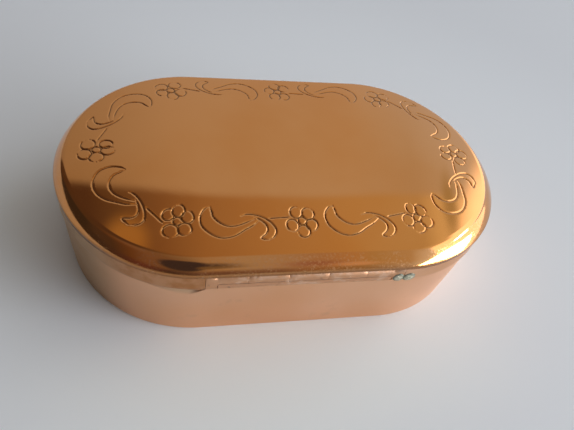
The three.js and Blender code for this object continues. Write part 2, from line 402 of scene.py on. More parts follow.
satin = {"copper": (0.76, 0.41, 0.22), "pale": (0.79, 0.465, 0.285), "tone": (60, 0.35, 0.68, 4),
         "grime": (0.5, 0.29, 0.18), "grimeClouds": (240, 0.6, 0.78, 8), "grimeShare": 0.3,
         "tarnish": (0.455, 0.197, 0.07), "tarnishFrom": 0.004, "tarnishTo": -0.018,
         "patches": (330, 0.35, 0.65, 6), "patchLeast": 0.65,
         "warm": (0.67, 0.345, 0.16), "warmFrom": 0.017, "warmTo": 0.026,
         # Darker and browner at the left end: painted shade
         "brown": (0.49, 0.305, 0.16), "brownFrom": -0.029, "brownTo": -0.037,
         "residue": (0.46, 0.38, 0.22), "residueMetal": -0.3,
         "roughness": 0.36, "rimRoughness": 0.28, "smear": (120, 0.3, 0.7, 5), "smearRough": 0.1,
         "insideRough": 0.2, "lines": (700, 0.012, 0.1), "lineHeight": -0.05,
         "grain": (900, 4), "grainHeight": 0.05, "bump": (0.4, 0.0003)}


def makeBodyCopper(name, roughness, tarnished):
    nodes = startMaterial(name, satin)
    inside, residue = (nodes.read(key) for key in ("inside", "residue"))
    colour = nodes.mix(nodes.cloud("tone"), "copper", "pale")
    colour = nodes.blend(nodes.cloud("grimeClouds"), colour, "grime")
    if tarnished:
        patches = nodes.stretch(nodes.cloud("patches"), 0.0, 1.0, "patchLeast")
        reach = nodes.soft(nodes.x, "tarnishFrom", "tarnishTo")
        colour = nodes.mix(nodes.times(reach, patches), colour, "tarnish")
        colour = nodes.shade(nodes.x, colour, "warm")
    # Painted shade: the left end goes darker and browner, for the shadowed floor that the satin copper
    # reflects there
    colour = nodes.shade(nodes.x, colour, "brown")
    colour = nodes.mix(inside, colour, nodes.dullCopper())
    colour = nodes.mix(residue, colour, "residue")
    rough = nodes.total(roughness, (nodes.cloud("smear"), "smearRough"), (inside, "insideRough"))
    grain = nodes.times(nodes.grain("grain"), "grainHeight")
    height = nodes.total(grain, (nodes.lines("lines"), "lineHeight"))
    return nodes.finish(colour, rough, nodes.total(1.0, (residue, "residueMetal")), height)


# The hinge has whitish remains of polish, in blotches and more in the crevice over the barrel,
# but none at its left end
hinge = {"copper": (0.62, 0.335, 0.185), "remains": (0.64, 0.47, 0.35), "remainsShare": 0.7,
         "remainsMetal": -0.6, "blotches": (480, 0.54, 0.64, 3), "blotchShare": 0.5,
         "streaks": (900, 0.42, 0.62, 3), "streakShare": 0.7, "creviceFrom": 0.017, "creviceTo": 0.0178,
         "cleanTo": -0.0165, "cleanFrom": -0.011,
         "grime": (0.24, 0.15, 0.09), "grimeClouds": (700, 0.6, 0.75, 5), "grimeShare": 0.6,
         "roughness": 0.42, "grain": (1200, 4), "bump": (0.3, 0.0001)}


def makeHingeCopper():
    nodes = startMaterial("hinge_copper", hinge)
    crevice = nodes.stretch(nodes.z, "creviceFrom", "creviceTo")
    streaks = nodes.times(nodes.times(crevice, nodes.cloud("streaks")), "streakShare")
    remains = nodes.math("MAXIMUM", nodes.times(nodes.cloud("blotches"), "blotchShare"), streaks)
    remains = nodes.times(remains, nodes.soft(nodes.x, "cleanTo", "cleanFrom"))
    colour = nodes.blend(remains, "copper", "remains")
    colour = nodes.blend(nodes.cloud("grimeClouds"), colour, "grime")
    metallic = nodes.total(1.0, (remains, "remainsMetal"))
    return nodes.finish(colour, metallic=metallic, height=nodes.grain("grain"))


inner = {"roughness": 0.52, "grain": (900, 4), "bump": (0.3, 0.0001)}


def makeInsideCopper():
    nodes = startMaterial("inside_copper", inner)
    return nodes.finish(nodes.dullCopper(), height=nodes.grain("grain"))


brass = {"bright": (0.69, 0.52, 0.28), "dark": (0.52, 0.38, 0.2), "tone": (800, 0.4, 0.6, 4),
         "roughness": 0.35}


def makePinBrass():
    nodes = startMaterial("pin_brass", brass)
    return nodes.finish(nodes.mix(nodes.cloud("tone"), "bright", "dark"))


solder = {"grey": (0.5, 0.47, 0.35), "bloom": (0.23, 0.27, 0.16), "dark": (0.12, 0.13, 0.1),
          "bloomClouds": (900, 0.45, 0.62, 4), "bloomShare": 0.5, "pits": (2200, 0.58, 0.7, 4),
          "edgeFrom": 0.55, "edgeTo": 0.95, "edgeShare": 0.85,
          "metallic": 0.7, "roughness": 0.5, "lumps": (1500, 3), "bump": (0.5, 0.0002)}


def makeSolder():
    nodes = startMaterial("solder", solder)
    colour = nodes.blend(nodes.cloud("bloomClouds"), "grey", "bloom")
    edge = nodes.stretch(nodes.read("edge"), "edgeFrom", "edgeTo")
    colour = nodes.mix(nodes.times(edge, "edgeShare"), colour, "dark")
    colour = nodes.mix(nodes.cloud("pits"), colour, "dark")
    return nodes.finish(colour, metallic="metallic", height=nodes.grain("lumps"))


lidCopper = makeLidCopper()
bodyCopper = makeBodyCopper("body_copper", "roughness", False)
rimCopper = makeBodyCopper("rim_copper", "rimRoughness", True)
hingeCopper = makeHingeCopper()
insideCopper = makeInsideCopper()
pinBrass = makePinBrass()
softSolder = makeSolder()
print("materials made")


# The engraving. A stroke is a line of points (along, inset): `along` runs along the ornament's
# path, counter-clockwise, from the middle of the flower that the spray leads to, and `inset`
# is measured in from the lid's outline.
ornament = {"pathInset": 8.2, "firstFlower": -0.7, "lineHalf": 0.2, "depth": 0.12, "snap": 0.45,
            "taper": 10, "thinnest": 0.5, "bandStart": 3.0, "bandEnd": 11.65,
            "petals": 5, "petalReach": 1.95, "petalLong": 1.16, "petalWide": 1.12, "petalTurn": 67,
            "turnOff": 6, "reachOff": 0.1, "sizeOff": 0.05, "loopLeast": 325, "loopMost": 358,
            "heartRadius": 0.72, "squeeze": (0.93, 1.04)}

spray = [
    [(-15.3, 11.4), (-16.1, 11.0), (-16.8, 10.1), (-17.1, 9.0), (-16.8, 7.5), (-15.8, 6.3), (-14.5, 5.5),
     (-13.1, 5.3), (-11.5, 5.7), (-9.9, 6.7), (-8.5, 7.5), (-7.3, 8.5)],
    [(-15.3, 11.4), (-15.1, 10.4), (-14.9, 9.3), (-14.0, 8.2), (-12.7, 7.5), (-11.3, 7.5), (-9.8, 8.0),
     (-8.0, 8.8)],
    [(-10.3, 9.4), (-9.3, 9.7), (-8.2, 9.6), (-7.0, 9.2), (-5.8, 8.4), (-5.0, 7.4), (-4.7, 6.4),
     (-5.1, 5.4), (-6.1, 4.7)],
    [(-8.1, 9.2), (-7.2, 8.6), (-6.4, 7.8), (-6.1, 6.9), (-6.4, 6.0), (-7.3, 5.2), (-7.0, 4.9),
     (-6.2, 4.7)],
]
stem = {"start": (-5.7, 8.8), "reach": 2.2}  # straight, to the gap in the flower

# Each repeat is set a little off: how far along, how far in, and the turn of its flower
repeats = [(-0.25, 0, -21), (-0.5, -0.1, -35), (0.5, -0.1, -20), (0.3, -0.9, 10),
           (0.4, -1.6, -10), (0.4, -1.3, 15), (0.5, -0.9, 5), (0.6, -0.1, 27)]


# A smooth line through a few points: Catmull-Rom, sampled evenly between each pair
def smoothLine(points, parts=10):
    p = np.array(points, float)
    p = np.concatenate([2 * p[:1] - p[1:2], p, 2 * p[-1:] - p[-2:-1]])
    t = np.linspace(0, 1, parts, endpoint=False)[:, None]
    pieces = []
    for a, b, c, d in zip(p[:-3], p[1:-2], p[2:-1], p[3:]):
        pieces.append(b + (c - a) * t / 2 + (a - 2.5 * b + 2 * c - d / 2) * t**2
                      + (1.5 * b - a / 2 - 1.5 * c + d / 2) * t**3)
    return np.concatenate(pieces + [p[-2:-1]])


# Points (along, inset) of the ornament's path carried to the plan of the lid
def onLid(points):
    radius = endRadius - ornament["pathInset"]
    side, end = 2 * straightHalf, np.pi * radius
    along = (points[:, 0] + straightHalf) % (2 * (side + end))
    half = np.where(along >= side + end, -1.0, 1.0)
    along = np.where(along >= side + end, along - side - end, along)
    turn = np.maximum(along - side, 0) / radius
    reach = endRadius - points[:, 1]
    x = np.where(along < side, along - straightHalf, straightHalf + reach * np.sin(turn))
    y = np.where(along < side, -reach, -reach * np.cos(turn))
    return columns(half * x, half * y)


# A flower: five oval loops, each left a little open at a place of its own, round a small ring.
# The middle petal lies at an angle, and the gap opposite it, where the stem comes in, is wider.
def flowerStrokes(rng, middle):
    strokes = []
    turnOff, reachOff, sizeOff = (ornament[key] for key in ("turnOff", "reachOff", "sizeOff"))
    for k in range(ornament["petals"]):
        fromMiddle = ornament["petalTurn"] * (k - (ornament["petals"] - 1) / 2)
        angle = math.radians(middle + fromMiddle + rng.uniform(-turnOff, turnOff))
        reach = ornament["petalReach"] + rng.uniform(-reachOff, reachOff)
        size = rng.uniform(1 - sizeOff, 1 + sizeOff)
        opening = rng.uniform(-0.6 * math.pi, 0.6 * math.pi)
        loop = rng.uniform(ornament["loopLeast"], ornament["loopMost"])
        turn = opening + np.radians(np.linspace(0, loop, 15))
        out = reach + size * ornament["petalWide"] * np.cos(turn)
        across = size * ornament["petalLong"] * np.sin(turn)
        strokes.append(columns(out * np.cos(angle) - across * np.sin(angle),
                               out * np.sin(angle) + across * np.cos(angle)))
    turn = np.linspace(0, 2 * np.pi, 13)
    strokes.append(ornament["heartRadius"] * columns(np.cos(turn), np.sin(turn)))
    return [stroke * ornament["squeeze"] + (0, ornament["pathInset"]) for stroke in strokes]


def ornamentStrokes():
    rng = np.random.default_rng(8)
    length = 4 * straightHalf + 2 * np.pi * (endRadius - ornament["pathInset"])
    strokes = []
    for k, (along, inwards, turn) in enumerate(repeats):
        middle = np.array([ornament["firstFlower"] + length * k / len(repeats) + along, inwards])
        for points in [np.array(s) for s in spray] + flowerStrokes(rng, turn):
            strokes.append(onLid(smoothLine(points) + middle))
        gap = math.radians(turn + 180)
        end = stem["reach"] * np.array([math.cos(gap), math.sin(gap)]) * ornament["squeeze"]
        start, end = onLid(np.array([stem["start"], end + (0, ornament["pathInset"])]) + middle)
        strokes.append(start + (end - start) * np.linspace(0, 1, 12)[:, None])
    return strokes


# Cuts the strokes into points of the lid. Each point gets a depth from 0 to 1: one minus the
# distance to the nearest stroke over half the width of its line, which thins at the stroke's
# ends. Points beside the middle or the edge of a line are first moved onto it, so that the
# groove has clean edges.
def cutInto(points, strokes, step):
    width = ornament["lineHalf"]
    margin = width + step
    away = np.full(len(points), 9.0)
    half = np.full(len(points), width)
    towards = np.zeros((len(points), 2))
    for line in strokes:
        near = ((points > line.min(0) - margin) & (points < line.max(0) + margin)).all(axis=1)
        near = np.nonzero(near)[0]
        if not len(near):
            continue
        a, d = line[:-1], line[1:] - line[:-1]
        p = points[near][:, None, :] - a[None]
        t = np.clip((p * d).sum(-1) / np.maximum((d * d).sum(-1), 1e-9), 0, 1)
        gap = t[..., None] * d - p
        distance = np.linalg.norm(gap, axis=-1)
        k = distance.argmin(axis=1)
        row = np.arange(len(near))
        share = (k + t[row, k]) / len(d)
        taper = np.clip(np.minimum(share, 1 - share) * ornament["taper"], ornament["thinnest"], 1)
        closer = distance[row, k] < away[near]
        kept = near[closer]
        away[kept] = distance[row, k][closer]
        towards[kept] = gap[row, k][closer]
        half[kept] = width * taper[closer]
    toMiddle = away < ornament["snap"] * step
    toEdge = ~toMiddle & (np.abs(away - half) < ornament["snap"] * step)
    target = np.where(toMiddle, 0, np.where(toEdge, half, away))
    moved = points + towards * (1 - target / np.maximum(away, 1e-9))[:, None]
    return moved, np.clip(1 - target / half, 0, 1) * half / width


# The domed plate. `arcs` are the shoulder's bends from its foot to the dome, as (tilt of the
# skin at the bend's start, tilt at its end, radius), and the dome rises with one minus the
# square of the share of the way that is left to the middle.
plate = {"thickness": 0.8, "edge": 1.05, "reach": 2.0, "rise": 1.8, "roundness": 1.25, "dome": 2.0,
         "arcs": [(90, 61, 0.3), (61, 46, 9.0), (46, 8.5, 1.5)],
         "softer": 0.6, "softerFrom": 10, "softerTo": 34, "softerUntil": 120, "softerAt": 1.5,
         "edgeOver": 0.5, "edgeFade": 0.7, "sideCount": 232, "endCount": 348, "shoulderRows": 21,
         "beforeRows": 6, "bandRows": 66, "middleRows": 8, "underTurns": 6, "underRows": 7}


def domeHeight(inset):
    return plate["dome"] * (1 - (1 - inset / endRadius) ** 2)


def domeTop(inset):
    return rimTop + plate["edge"] + plate["rise"] + domeHeight(inset)


# Rows (inset, height) of the outer shoulder: each bend of radius r takes its skin in by r times
# the fall of the tilt's sine and up by r times the growth of its cosine
def shoulderRows():
    insets, heights = [np.zeros(1)], [np.zeros(1)]
    for start, end, radius in plate["arcs"]:
        tilt = np.radians(np.linspace(start, end, plate["shoulderRows"] // len(plate["arcs"]) + 1))[1:]
        first = math.radians(start)
        insets.append(insets[-1][-1] + radius * (math.sin(first) - np.sin(tilt)))
        heights.append(heights[-1][-1] + radius * (np.cos(tilt) - math.cos(first)))
    inset, height = np.concatenate(insets), np.concatenate(heights)
    return inset, height + domeTop(inset[-1]) - height[-1]


# Rows of the inner skin, from its lower edge to the middle line: the shoulder's curve of
# exponent `roundness`, reach and rise, less the sheet's thickness
def innerRows(insets):
    depth = plate["thickness"]
    reach, rise = plate["reach"] - depth, plate["rise"] - depth
    foot = rimTop + plate["edge"]
    turn = np.linspace(0, np.pi / 2, plate["underTurns"])[1:]
    inset = depth + reach * (1 - np.cos(turn) ** (2 / plate["roundness"]))
    height = foot + rise * np.sin(turn) ** (2 / plate["roundness"]) + domeHeight(inset)
    return (np.concatenate([[depth, depth], inset, insets]),
            np.concatenate([[rimTop, foot + domeHeight(depth)], height, foot + rise + domeHeight(insets)]))


# The shoulder runs out wider round the near corner of the right end: extra inset of its rows,
# growing with the angle round the corner and fading past the end, most at the top of the flank
def softerInset(stops, inset):
    angle = np.degrees(np.arctan2(stops[:, 2], -stops[:, 3]))
    share = (angle - plate["softerFrom"]) / (plate["softerTo"] - plate["softerFrom"])
    fade = (180 - angle) / (180 - plate["softerUntil"])
    bump = np.interp(inset, [0, plate["softerAt"], ornament["bandStart"]], [0, 1, 0])
    return inset + plate["softer"] * eased(np.where(angle > plate["softerUntil"], fade, share)) * bump


# The inner skin from the middle out, the lower edge, and the outer skin back to the middle. The
# rows have all their points in the ornament's band, half of them in the shoulder and beside the
# band, and a quarter elsewhere.
def makeLidPlate():
    stops = roundStops(plate["sideCount"], plate["endCount"])
    half, quarter = stops[::2], stops[::4]
    band, bandStep = np.linspace(ornament["bandStart"], ornament["bandEnd"], plate["bandRows"], retstep=True)
    foot, shoulder = shoulderRows()
    before = np.linspace(foot[-1], band[0], plate["beforeRows"])[1:-1]
    after = np.linspace(band[-1], endRadius, plate["middleRows"])[1:]
    beside = [(band[-1] + after[0]) / 2]
    top = np.concatenate([before, band, beside, after])
    insets = np.concatenate([[0, 0], foot, top])
    heights = np.concatenate([[rimTop, (rimTop + shoulder[0]) / 2], shoulder, domeTop(top)])
    lines = [half] * (len(insets) - len(band) - 1 - len(after)) + [stops] * len(band)
    lines += [half] + [quarter] * len(after)
    under = columns(*innerRows(np.linspace(plate["reach"], endRadius, plate["underRows"])[1:]))
    rings = sweep(quarter, under[::-1])
    innerCount = len(rings)
    rings.append(ring(half, plate["thickness"] / 2, rimTop))
    rings += [ring(line, softerInset(line, i), z) for line, i, z in zip(lines, insets, heights)]
    points, faces = shellOf(rings, closedSection=False)
    counts = np.array([len(row) for row in rings])
    engraved = np.repeat(counts == len(stops), counts)
    cut = np.zeros(len(points))
    points[engraved, :2], cut[engraved] = cutInto(points[engraved, :2], ornamentStrokes(), bandStep)
    points[:, 2] -= ornament["depth"] * cut
    edge = held((shoulder[0] + plate["edgeOver"] - heights) / plate["edgeFade"])
    values = {"cut": cut, "edge": np.repeat(np.concatenate([np.ones(innerCount + 1), edge]), counts),
              "inside": np.repeat(np.arange(len(rings)) < innerCount, counts)}
    makePiece("lid_plate", (points, faces), lidCopper, "lid", values)


makeLidPlate()
print("lid plate engraved")


# The rim under the plate, a strip with softened lower edges
rim = {"thickness": 0.7, "reveal": 0.1, "edge": 0.14, "step": 0.6, "sideCount": 60, "endCount": 180}


def makeLidRim():
    outer, inner = rim["reveal"], rim["reveal"] + rim["thickness"]
    section = roundedSection([(outer, partingLine, rim["edge"]), (outer, rimTop, 0), (inner, rimTop, 0),
                              (inner, partingLine, rim["edge"])])
    section = dividedSection(section, rim["step"])
    stops = openStops(0.0, rim["sideCount"], rim["endCount"])
    values = {"inside": np.repeat(section[:, 0] > inner - hair, len(stops))}
    makePiece("lid_rim", shellOf(sweep(stops, section), closedPath=False), rimCopper, "lid",
              values)


wall = {"insetTop": 0.3, "insetFoot": 1.05, "thickness": 0.7, "edge": 0.12, "step": 0.7, "sag": 0.05,
        "dipDepth": 1.8, "dipStart": 16.4, "dipRunIn": 3.6, "dipEnd": 29, "dipRunOut": 8.5,
        "swingOuter": 0.17, "swingInner": 0.55, "swingStart": 15.15, "swingRunIn": 0.1, "swingEnd": 26,
        "fileReach": 4, "residue": 0.5, "residueTop": 0.1, "sideCount": 400, "endCount": 300}


# How far the wall stands in from the lid's outline at a height, and what lies inside the wall
def wallInset(z):
    return wall["insetFoot"] + (wall["insetTop"] - wall["insetFoot"]) * z / partingLine


def insideWall(z):
    return wallInset(z) + wall["thickness"] + bezel["gap"]


# A share drawn out along half a wave of the cosine
def waved(share):
    return (1 - np.cos(np.pi * share)) / 2


# How far the wall's top is filed away at each stop, outside and inside. Past the strip it clears
# the rim's swing, and at the left end a facet goes down outside it in a lens-shaped dip: a
# cosine run-in, a flat and a cosine run-out.
def filedAt(stops):
    beyond = np.abs(stops[:, 0])
    near = stops[:, 3] < 0
    swing = held((beyond - wall["swingStart"]) / wall["swingRunIn"])
    out = held((wall["swingEnd"] - beyond) / (wall["swingEnd"] - straightHalf))
    swing = np.where(near, swing * waved(out), 0)
    runIn = (beyond - wall["dipStart"]) / wall["dipRunIn"]
    runOut = (wall["dipEnd"] - beyond) / wall["dipRunOut"]
    share = held(np.minimum(runIn, runOut))
    dip = np.where(near & (stops[:, 0] < 0), waved(share), 0)
    return np.maximum(wall["swingOuter"] * swing, wall["dipDepth"] * dip), wall["swingInner"] * swing, dip


# The wall sags a little between its foot and its top, in two waves round the box
def makeBodyWall():
    thick, edge = wall["thickness"], wall["edge"]
    section = dividedSection(roundedSection([(0, baseTop, 0), (0, partingLine, edge),
                                             (thick, partingLine, edge), (thick, baseTop, 0)]), wall["step"])
    stops = roundStops(wall["sideCount"], wall["endCount"])
    outside, inside, dip = filedAt(stops)
    around = np.arctan2(stops[:, 1], stops[:, 0])
    wave = np.sin(5 * around + 0.6) + 0.6 * np.sin(11 * around)
    rings, residue = [], []
    for across, z in section:
        share = (z - baseTop) / (partingLine - baseTop)
        filed = outside + (inside - outside) * across / thick
        height = z - filed * max(0, 1 - (partingLine - z) / wall["fileReach"])
        sag = wall["sag"] * np.sin(np.pi * share) * wave
        rings.append(ring(stops, wallInset(height) + across + sag, height))
        onTop = (z > partingLine - wall["residueTop"]) * min(2 * across / thick, 1)
        residue.append(wall["residue"] * held(dip * 1.5) * onTop)
    values = {"inside": np.repeat(section[:, 0] > thick - hair, len(stops)),
              "residue": np.concatenate(residue)}
    makePiece("body_wall", shellOf(rings), bodyCopper, "box", values)


# The base from the middle of its underside out, round its edge, and back over its top
base = {"edge": 0.6, "edgeRows": 8, "underRim": 2, "underRows": 6, "topRim": 0.7, "topRows": 7}


def makeBasePlate():
    outer = wallInset(baseTop)
    turn = np.linspace(0, np.pi / 2, base["edgeRows"])
    under = np.linspace(endRadius, outer + base["underRim"], base["underRows"])
    over = np.linspace(outer + base["topRim"], endRadius, base["topRows"])
    insets = np.concatenate([under, outer + base["edge"] * (1 - np.sin(turn)), [outer], over])
    heights = np.concatenate([0 * under, base["edge"] * (1 - np.cos(turn)), [baseTop], baseTop + 0 * over])
    stops = roundStops(rim["sideCount"], rim["endCount"])
    rings = sweep(stops, zip(insets, heights))
    values = {"inside": np.repeat(np.arange(len(rings)) >= len(rings) - len(over), len(stops))}
    makePiece("base_plate", shellOf(rings, closedSection=False), bodyCopper, "box", values)


bezel = {"thickness": 0.6, "rise": 1.2, "depth": 2.2, "leadIn": 0.25, "gap": 0.05, "start": 45,
         "footEdge": 0.05, "topEdge": 0.12, "innerEdge": 0.1, "sideCount": 40, "endCount": 120}


def makeInnerBezel():
    bottom, top = partingLine - bezel["depth"], partingLine + bezel["rise"]
    foot, outer = insideWall(bottom), insideWall(partingLine)
    inner = foot + bezel["thickness"]
    section = roundedSection([(foot, bottom, bezel["footEdge"]), (outer, partingLine, 0),
                              (outer, top, bezel["leadIn"]), (inner, top, bezel["topEdge"]),
                              (inner, bottom, bezel["innerEdge"])])
    stops = openStops(math.radians(bezel["start"]), bezel["sideCount"], bezel["endCount"])
    makePiece("inner_bezel", shellOf(sweep(stops, section), closedPath=False), insideCopper, "box")


makeLidRim()
makeBodyWall()
makeBasePlate()
makeInnerBezel()
print("rim, wall, base and bezel made")


# A piece turned about the hinge axis: a section of (radius, x) at every angle, where `swell` may
# give each angle and x a larger radius. Angle 0 points out of the box, and over 0 is up.
def turned(section, sides, swell=None, closedSection=True):
    turn = 2 * np.pi * np.arange(sides) / sides
    rings = []
    for r, x in section:
        radius = np.full(sides, r) if swell is None else swell(turn, r, x)
        rings.append(columns(np.full(sides, x), axisY - radius * np.cos(turn), axisZ + radius * np.sin(turn)))
    return shellOf(rings, closedSection=closedSection)


# A bar along the hinge: a closed section of (inwards, upwards) from the axis, drawn out along x
def barAlongHinge(section, x0, x1, count=12):
    places = np.linspace(x0, x1, count)
    rings = [columns(places, np.full(count, axisY + u), np.full(count, axisZ + v)) for u, v in section]
    return shellOf(rings, closedPath=False)


barrel = {"radius": 1.5, "bore": 0.7, "edge": 0.02, "sides": 128, "joint": 0.03, "crack": 0.07,
          "step": 1.0, "endStep": 0.1, "lobeStart": 15.31, "lobeFadeUnder": 0.06, "lobeFadeOver": 1.5,
          "lobeOverFrom": 20, "lobeRadius": 2.16, "lobeTop": 48, "lobeEnd": 80}


# The end knuckles are filled out flush with the sides of the box at their outer ends: the
# radius follows the upright face to `lobeTop` degrees up and down, and falls back after it
def endLobe(turn, r, x):
    angle = np.degrees(np.abs(np.where(turn > np.pi, turn - 2 * np.pi, turn)))
    flush = barrel["radius"] / np.cos(np.radians(np.minimum(angle, barrel["lobeTop"])))
    flush = np.minimum(flush, barrel["lobeRadius"])
    back = (barrel["lobeEnd"] - angle) / (barrel["lobeEnd"] - barrel["lobeTop"])
    over = held(turn / np.radians(barrel["lobeOverFrom"])) * (turn < np.pi)
    fade = barrel["lobeFadeUnder"] + (barrel["lobeFadeOver"] - barrel["lobeFadeUnder"]) * over
    share = eased((abs(x) - barrel["lobeStart"]) / fade) * eased(back)
    depth = max(0, r - barrel["bore"]) / (barrel["radius"] - barrel["bore"])
    return r + (flush - barrel["radius"]) * share * depth


def makeKnuckles():
    names = ["lid_knuckle_1", "body_knuckle_1", "lid_knuckle_2", "body_knuckle_2", "lid_knuckle_3"]
    lows, highs = ([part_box(name)[side].x / mm for name in names] for side in (0, 1))
    joints = [(high + low) / 2 for high, low in zip(highs[:-1], lows[1:])]
    end = straightHalf - barrel["crack"]
    starts = [-end] + [joint + barrel["joint"] / 2 for joint in joints]
    ends = [joint - barrel["joint"] / 2 for joint in joints] + [end]
    for name, x0, x1 in zip(names, starts, ends):
        atEnd = x0 == -end or x1 == end
        corners = [(barrel["bore"], x0, 0), (barrel["radius"], x0, barrel["edge"]),
                   (barrel["radius"], x1, barrel["edge"]), (barrel["bore"], x1, 0)]
        section = dividedSection(roundedSection(corners, 4), barrel["endStep"] if atEnd else barrel["step"])
        shape = turned(section, barrel["sides"], endLobe if atEnd else None)
        makePiece(name, shape, hingeCopper, "lid" if name.startswith("lid") else "box")


pin = {"edge": 0.15, "sides": 32}


def makePin():
    radius = (pinHigh.z - pinLow.z) / 2 / mm
    x0, x1 = pinLow.x / mm, pinHigh.x / mm
    section = roundedSection([(0, x0, 0), (radius, x0, pin["edge"]), (radius, x1, pin["edge"]), (0, x1, 0)])
    makePiece("hinge_pin", turned(section, pin["sides"], closedSection=False), pinBrass, "box")


# The strip along the top of the wall: its face comes forward to be nearly flush with the ends of
# the barrel, and its back is hollowed round the barrel with a small gap
strip = {"half": 15.28, "gap": 0.03, "flush": 0.16, "foot": 0.2, "inner": 0.75, "behind": 0.005,
         "face": [(1.0, 0.0), (0.86, 0.06), (0.62, 0.35), (0.38, 0.75), (0.2, 0.95), (0.0, 1.0)]}


def makeStrip():
    radius = barrel["radius"] + strip["gap"]
    nearest = endRadius + axisY - strip["flush"]
    farthest = endRadius + axisY - wall["insetTop"] - strip["behind"]
    top, bottom = -math.sqrt(radius**2 - nearest**2), partingLine - strip["foot"] - axisZ
    points = [(-(farthest + (nearest - farthest) * out), top + (bottom - top) * down)
              for down, out in strip["face"]]
    turn = np.linspace(math.acos(nearest / radius), math.acos(strip["inner"] / radius), 12)
    points += [(-radius * math.cos(t), -radius * math.sin(t)) for t in turn[1:]]
    points += [(-strip["inner"], bottom)]
    makePiece("hinge_strip", barAlongHinge(points, -strip["half"], strip["half"]), hingeCopper, "box",
              crease=30, added=True)


# The channels round the barrel: a quarter ring with a flange towards the piece that carries it
channel = {"gap": 0.12, "thickness": 0.65, "mouth": 5, "lidFace": -0.4}


def bodyFace(v):
    return insideWall(axisZ + v) - endRadius - axisY


def lidFace(v):
    return channel["lidFace"]


def channelSection(side, face, flangeEnd):
    inner = barrel["radius"] + channel["gap"]
    outer = inner + channel["thickness"]
    mouth = math.radians(channel["mouth"])
    back = face(flangeEnd) + channel["thickness"]
    a = np.linspace(mouth, math.acos(face(side * inner) / inner), 20)
    b = np.linspace(math.acos(back / outer), mouth, 16)
    lines = [(inner * math.cos(t), side * inner * math.sin(t)) for t in a]
    lines += [(face(flangeEnd), flangeEnd), (back, flangeEnd)]
    lines += [(outer * math.cos(t), side * outer * math.sin(t)) for t in b]
    return lines


def makeChannel(node, body, side, face):
    low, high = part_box(node)
    flangeEnd = (low if side < 0 else high).z / mm - axisZ
    shape = barAlongHinge(channelSection(side, face, flangeEnd), low.x / mm, high.x / mm)
    makePiece(node, shape, insideCopper, body, crease=30)


# The cracked solder tack: a lump over a disc, (u, v) in the disc placed on the flush side, its
# height falling with the cube of the radius and broken up by small swells. Behind it goes into
# what it holds.
tack = {"thickness": 0.25, "height": 2.3, "knuckleLength": 2.15, "rimLength": 2.6, "crack": 0.02,
        "lap": 0.2, "gap": 0.03, "drop": 0.8, "knuckleRoot": 0.4, "rimRoot": 0.2, "backShare": 0.9,
        "rings": 12, "sides": 48}


def lumpOver(place, root):
    r = np.linspace(0, 1, tack["rings"])[:, None]
    turn = 2 * np.pi * np.arange(tack["sides"])[None] / tack["sides"]
    ragged = 1 - 0.07 * (1 + np.sin(3 * turn + 1)) / 2 - 0.05 * (1 + np.sin(7 * turn)) / 2
    u, v = r * np.cos(turn) * ragged, r * np.sin(turn) * ragged
    lumps = 0.8 + 0.1 * np.sin(5 * u + 2) * np.cos(6 * v) + 0.1 * np.sin(9 * v + 4 * u)
    front = place(u, v, tack["thickness"] * (1 - r**3) * lumps)
    back = place(u * tack["backShare"], v * tack["backShare"], -root + 0 * u)
    edge = np.concatenate([r[:, 0], np.ones(len(back))])
    return shellOf([*front, *back[::-1]], closedSection=False), np.repeat(edge, tack["sides"])


# On the last knuckle, up to the crack at its right end
def onKnuckle(u, v, lift):
    right = straightHalf - tack["crack"]
    x = np.minimum(right + tack["lap"] - (1 - u) * tack["knuckleLength"] / 2, right)
    return np.stack([x, rim["reveal"] - tack["gap"] - endRadius - lift,
                     axisZ - tack["drop"] + v * tack["height"] / 2], axis=-1)


# On the rim, round the end from the crack
def onRim(u, v, lift):
    along = np.maximum(tack["crack"] - tack["lap"] + (1 + u) * tack["rimLength"] / 2, tack["crack"])
    far = endRadius - rim["reveal"] + tack["gap"] + lift
    return np.stack([straightHalf + far * np.sin(along / endRadius), -far * np.cos(along / endRadius),
                     axisZ - tack["drop"] + v * tack["height"] / 2], axis=-1)


def makeTack(node, place, root):
    shape, edge = lumpOver(place, root)
    makePiece(node, shape, softSolder, "lid", {"edge": edge})


makeKnuckles()
makePin()
makeStrip()
makeChannel("body_hinge_channel", "box", -1, bodyFace)
makeChannel("lid_hinge_channel", "lid", 1, lidFace)
makeTack("solder_tack_knuckle", onKnuckle, tack["knuckleRoot"])
makeTack("solder_tack_rim", onRim, tack["rimRoot"])
print("hinge made")


# Camera: where the photograph was taken from, found from the outline and the ornament
camera = {"azimuth": -21.4, "elevation": 49.13, "roll": 15.45, "distance": 0.1113, "aim": (0, 0, 0.01),
          "shiftRight": 0.00141, "shiftUp": -0.00396, "focalPixels": 542.8, "framePixels": 574,
          "sensor": 36, "nearest": 0.005}


# The right, up and back directions of a thing that looks at the box from an azimuth and an
# elevation, and is rolled
def axesOf(thing):
    a, e, roll = (math.radians(thing[key]) for key in ("azimuth", "elevation", "roll"))
    back = np.array([math.sin(a) * math.cos(e), -math.cos(a) * math.cos(e), math.sin(e)])
    level = np.array([math.cos(a), math.sin(a), 0])
    right = level * math.cos(roll) + np.cross(back, level) * math.sin(roll)
    return right, np.cross(back, right), back


def placedBy(axes, place):
    return Matrix(np.stack([*axes, place], axis=1).tolist() + [[0, 0, 0, 1]])


def makeCamera():
    data = bpy.data.cameras.new("camera")
    data.sensor_width = camera["sensor"]
    data.lens = camera["focalPixels"] / camera["framePixels"] * camera["sensor"]
    data.clip_start = camera["nearest"]
    view = addObject("camera", data)
    right, up, back = axesOf(camera)
    eye = camera["aim"] + back * camera["distance"] + right * camera["shiftRight"] + up * camera["shiftUp"]
    view.matrix_world = placedBy((right, up, back), eye)
    bpy.context.scene.camera = view
